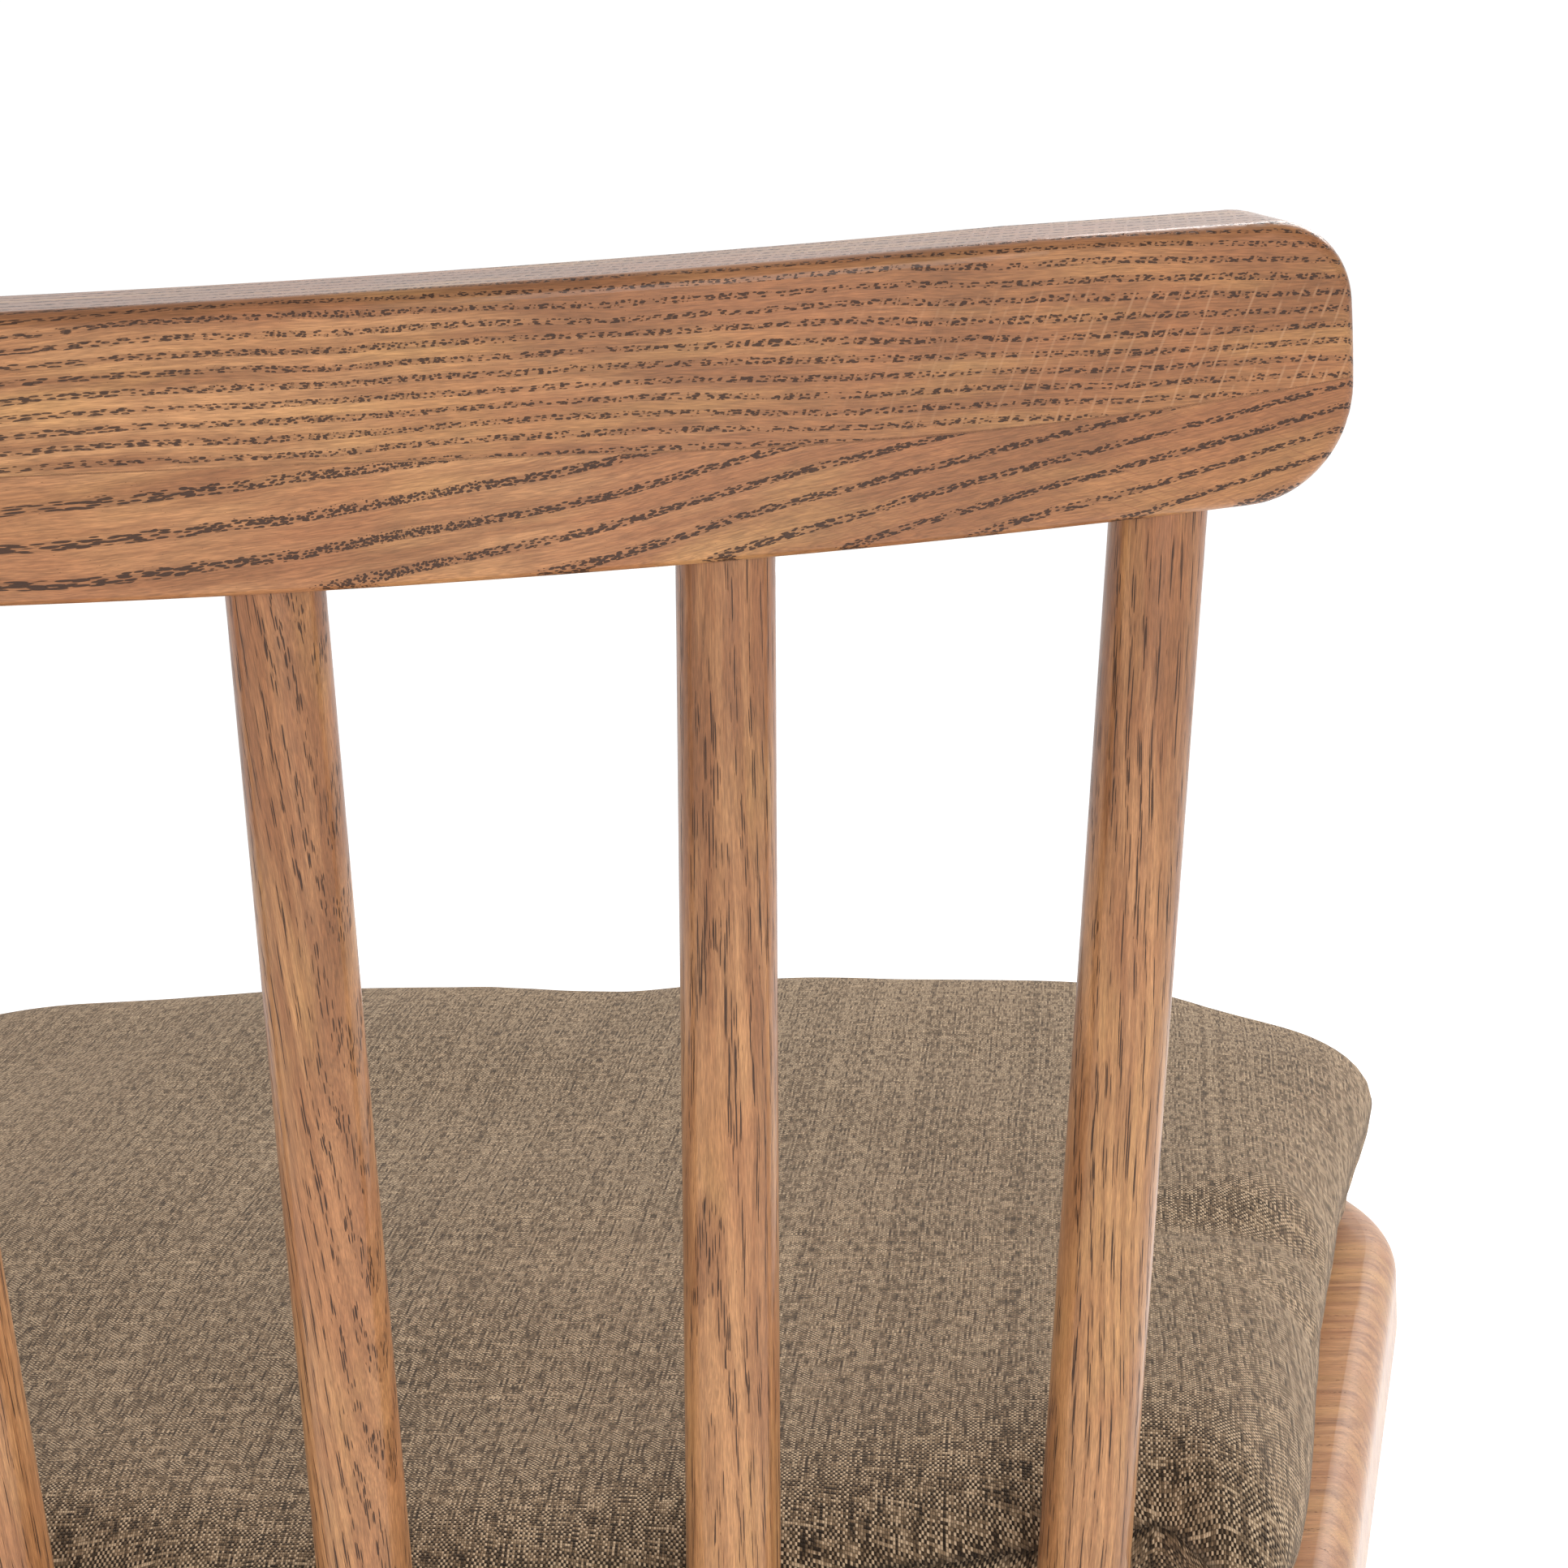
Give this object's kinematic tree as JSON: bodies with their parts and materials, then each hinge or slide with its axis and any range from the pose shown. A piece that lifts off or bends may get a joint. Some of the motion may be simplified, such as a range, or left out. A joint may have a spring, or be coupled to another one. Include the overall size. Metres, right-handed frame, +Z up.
{
  "type": "spindle-back chair",
  "caption": "Low-backed solid wood chair: bent crest rail on slender round spindles, plank seat on splayed turned legs with stretchers, and a loose plump seat cushion to sit on.",
  "frame": {"origin": "on the floor, at the middle of the chair's plan", "axes": "+Z up; the chair faces -Y; +X is the sitter's left; the chair is symmetric about the YZ plane"},
  "size_m": [0.559, 0.5202, 0.7346],
  "materials": {
    "frame_oak": "open-grain oak, mid warm brown stain, satin lacquer",
    "seat_oak": "open-grain oak boards, mid warm brown stain, satin lacquer",
    "wedge_wood": "dark hardwood, sanded flush and lacquered",
    "glide_nylon": "moulded nylon, matt",
    "nail_steel": "plain bright steel wire",
    "cover_linen": "plain-weave linen canvas of light beige and dark brown threads",
    "fibre_fill": "white polyester wadding",
    "foam_fill": "cut polyurethane foam",
    "zip_tape": "dark brown woven zip tape with coil teeth",
    "zip_metal": "antique brass, dull"
  },
  "bodies": {
    "frame": {"crest_rail": "frame_oak", "spindle_1": "frame_oak", "spindle_2": "frame_oak", "spindle_3": "frame_oak", "spindle_4": "frame_oak", "spindle_5": "frame_oak", "spindle_6": "frame_oak", "seat_board_1": "seat_oak", "seat_board_2": "seat_oak", "seat_board_3": "seat_oak", "seat_board_4": "seat_oak", "seat_board_5": "seat_oak", "leg_front_left": "frame_oak", "leg_front_right": "frame_oak", "leg_back_left": "frame_oak", "leg_back_right": "frame_oak", "side_stretcher_left": "frame_oak", "side_stretcher_right": "frame_oak", "cross_stretcher": "frame_oak", "leg_wedges": "wedge_wood", "foot_glide_front_left": "glide_nylon", "foot_glide_front_right": "glide_nylon", "foot_glide_back_left": "glide_nylon", "foot_glide_back_right": "glide_nylon", "glide_nails": "nail_steel"},
    "cushion": {"cushion_cover_top": "cover_linen", "cushion_cover_bottom": "cover_linen", "cushion_fibre_top": "fibre_fill", "cushion_fibre_bottom": "fibre_fill", "cushion_foam": "foam_fill", "cushion_zip": "zip_tape", "cushion_zip_slider": "zip_metal"}
  },
  "joints": [
    {"name": "cushion_lift", "type": "slide", "parent": "frame", "child": "cushion", "axis": [0, 0, 1], "range_m": [0, 0.15]}
  ]
}
